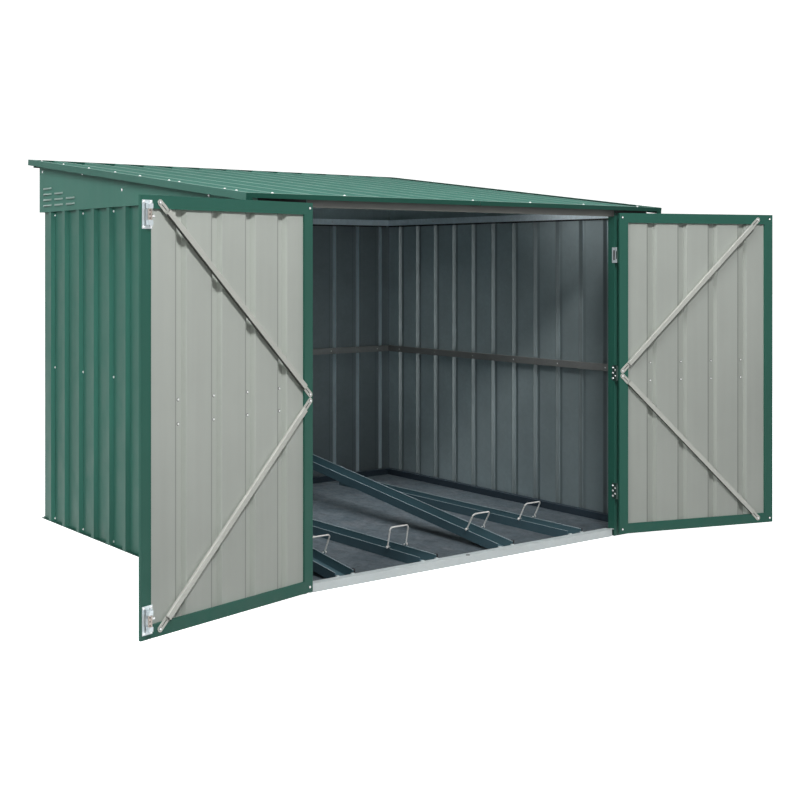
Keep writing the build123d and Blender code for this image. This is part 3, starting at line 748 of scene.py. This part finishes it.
louvres = Batch("gable_louvres", "shelter", "louvre", "green_paint")
hood_points, hood_faces = louvre()
for side in (-1, 1):
    for column, count in enumerate((4, 3, 2)):
        for row in range(count):
            at = Matrix.Translation((side * GABLE_X, 0.845 - 0.125 * column, 1.407 + 0.025 * row))
            louvres.add(hood_points, hood_faces, at @ from_axes(ALONG_Y, UPRIGHT, (side, 0, 0)))


def tray_place(n):
    """Matrix of a tray, from its front end; every second tray climbs to the back."""
    tilt = TRAY_TILT if n % 2 == 0 else 0
    return Matrix.Translation((TRAY_CENTRES[n], TRAY_FRONT, FLOOR_TOP)) @ Matrix.Rotation(tilt, 4, "X")


# Rolled hems along the tray edges, in a paler finish that paints their highlight
HEM_RADIUS, HEM_X = 0.0016, 0.0394
hems = Batch("tray_hems", "shelter", "hem_highlight", "tray_paint")
turns = [math.tau * k / 8 for k in range(8)]
ring = [(HEM_RADIUS * math.cos(turn), HEM_RADIUS * math.sin(turn)) for turn in turns]
hem_faces = [(k, (k + 1) % 8, 8 + (k + 1) % 8, 8 + k) for k in range(8)]
hem_faces += [tuple(range(7, -1, -1)), tuple(range(8, 16))]
for n in range(4):
    for side in (-1, 1):
        points = [(side * HEM_X + a, y, TRAY_HEIGHT - 0.0006 + b) for y in (0.001, TRAY_LENGTH - 0.001)
                  for a, b in ring]
        hems.add(points, hem_faces, tray_place(n))

# Dark bolts in the trays, and a dark block beside each tray's front end
bolts = Batch("tray_bolts", "shelter", "dark", "zinc_plated_steel")
for n in range(4):
    for y in (0.045, 0.60, 1.15):
        bolts.add(*HEX_BOLT, tray_place(n) @ facing((0, y, 0.0015), UPRIGHT))
    at = Matrix.Translation((0.0455, 0.008, TRAY_HEIGHT - 0.011))
    bolts.add(*bar(0.009, 0.014, 0.013, 0.0012), tray_place(n) @ at)

# Dark ring painted as the shade round the socket of the lower bolt, and dark strips painted as the shadow
# over the front panels where the roof rests
shade_strips = Batch("painted_shadow_strips", "shelter", "painted_shade", "galvanised_steel")
shade_strips.add(*shell(0.0054, 0.0080, 0, 360, 0.0008, 20), Matrix.Translation((BOLT_X, BOLT_Y, 0.030)))
for side in (-1, 1):
    at = Matrix.Translation((side * FRONT_PANEL_X, -HALF_DEPTH, WALL_TOP - 0.0085))
    shade_strips.add(*bar(0.196, 0.0150, 0.0008, 0.0003), at @ Matrix.Rotation(math.radians(90), 4, "X"))

# Strips along the ground that close the sheets between their ribs, in the darker trim green: painted
# shade
strips = Batch("ground_strips", "shelter", "trim_shade", "green_paint")
STRIP_HEIGHT, STRIP_DEPTH, STRIP_EDGE = 0.003, RIB_DEPTH - 0.0004, 0.0004
for side in (-1, 1):
    at = (side * (HALF_WIDTH + STRIP_DEPTH / 2), 0, 0)
    strips.add(*bar(STRIP_DEPTH, 2 * HALF_DEPTH, STRIP_HEIGHT, STRIP_EDGE), Matrix.Translation(at))
at = (0, HALF_DEPTH + STRIP_DEPTH / 2, 0)
strips.add(*bar(2 * HALF_WIDTH, STRIP_DEPTH, STRIP_HEIGHT, STRIP_EDGE), Matrix.Translation(at))

# Dark strips painted as the shadow along the lower edge of the top channels
LIP_DEPTH, LIP_HEIGHT = 0.0016, 0.0070
for side in (-1, 1):
    at = (side * (RAIL_X + 0.001), 0.005, CHANNEL_LIP_Z)
    shade_strips.add(*bar(LIP_DEPTH, 1.76, LIP_HEIGHT, 0.0004), Matrix.Translation(at))
shade_strips.add(*bar(1.86, LIP_DEPTH, LIP_HEIGHT, 0.0004), Matrix.Translation((0, 0.8882, CHANNEL_LIP_Z)))

# Bright tabs that hold the trays at the threshold
tabs = Batch("threshold_tabs", "shelter", "sill", "galvanised_steel")
for centre in TRAY_CENTRES:
    for dx in (-0.033, 0.033):
        tabs.add(*bar(0.012, 0.010, 0.0022, 0.0006), Matrix.Translation((centre + dx, -0.882, 0.0300)))

# Pale caps on the feet of the hoops
HOOP_PIVOTS = (
    (-0.585, -0.68556, 0.07133), (-0.195, -0.678, 0.048),
    (0.195, -0.6935, 0.07035), (0.585, -0.585, 0.048),
)
CAP_X = 0.0470
caps = []
for n, (x, y, z) in enumerate(HOOP_PIVOTS, 1):
    caps.append(Batch(f"hoop_{n}_caps", f"hoop_{n}", "wire", "zinc_plated_steel"))
    for side in (-1, 1):
        caps[-1].add(*CAP, facing((x + side * CAP_X, y, z), (side, 0, 0)))

for batch in (shelter_screws, hinge_slot_shades, left_screws, right_screws, left_shade, right_shade,
              barrels, louvres, hems, bolts, shade_strips, strips, tabs, *caps):
    batch.build()

# Stage: a pale floor under a white dome; neither one lights the shelter, but its gloss shows the dome
REACH = 40
FLOOR_Z, DOME_DROP = -0.0005, 0.01
FLOOR_GLOW, DOME_GLOW, WORLD_GLOW = 0.98, 1.1, 0.12
corners = [(x * REACH, y * REACH, FLOOR_Z) for x, y in ((-1, -1), (1, -1), (1, 1), (-1, 1))]
dome_rings = [(REACH * math.cos(math.radians(t)), REACH * math.sin(math.radians(t)) - DOME_DROP)
              for t in range(0, 90, 10)]
dome_points, dome_faces = turned(dome_rings, 32)


def stage_piece(name, points, faces, colour, glow):
    """A glowing piece of the studio that gives the shelter no diffuse light."""
    mesh = bpy.data.meshes.new(name)
    mesh.from_pydata(points, [], faces)
    n = Nodes(name + "_paint")
    n.shader.inputs["Emission Color"].default_value = (1, 1, 1, 1)
    n.shader.inputs["Emission Strength"].default_value = glow
    mesh.materials.append(n.finish(colour, 0.9))
    piece = bpy.data.objects.new(name, mesh)
    bpy.context.scene.collection.objects.link(piece)
    piece.visible_diffuse = False
    return piece


stage_piece("studio_floor", corners, [(0, 1, 2, 3)], (0.9, 0.9, 0.9), FLOOR_GLOW)
dome = stage_piece("studio_dome", dome_points, dome_faces[:-2] + dome_faces[-1:], (0, 0, 0), DOME_GLOW)
dome.visible_shadow = False
dome.visible_transmission = False

world = bpy.data.worlds.new("studio")
bpy.context.scene.world = world
world.use_nodes = True
background = world.node_tree.nodes["Background"]
background.inputs["Color"].default_value = (1, 1, 1, 1)
background.inputs["Strength"].default_value = WORLD_GLOW


def area_light(name, at, target, size, power, spread=180):
    """A soft light that the camera doesn't see; power in watts, spread in degrees."""
    data = bpy.data.lights.new(name, "AREA")
    data.shape = "RECTANGLE"
    data.size, data.size_y = size
    data.energy = power
    data.spread = math.radians(spread)
    light = bpy.data.objects.new(name, data)
    light.location = at
    light.rotation_euler = (Vector(target) - Vector(at)).to_track_quat("-Z", "Y").to_euler()
    light.visible_camera = False
    bpy.context.scene.collection.objects.link(light)


area_light("top", (0, 0, 6.0), (0, 0, 0), (5, 5), 158)
area_light("high_front", (-1.5, -4.3, 4.1), (-0.3, -0.9, 0.8), (0.9, 0.7), 136)
area_light("key_left", (-6.0, -1.6, 4.2), (0, 0, 0.9), (3, 3), 215)
area_light("front_left", (-3.5, -6.0, 2.2), (0, 0, 0.7), (2, 1.5), 8)
area_light("back_right", (4.2, 5.2, 1.1), (0.2, 0.2, 0.8), (3, 1.6), 110)
area_light("ceiling", (0, 0.05, 1.335), (0, 0.05, 0), (1.7, 1.4), 5.6, 85)
area_light("inside_right", (-0.55, 0.45, 1.30), (0.97, -0.5, 1.15), (0.5, 0.3), 0.10, 90)
area_light("channel", (-0.1, -0.6, 1.36), (0.944, -0.6, 1.36), (0.5, 0.02), 0.26, 40)
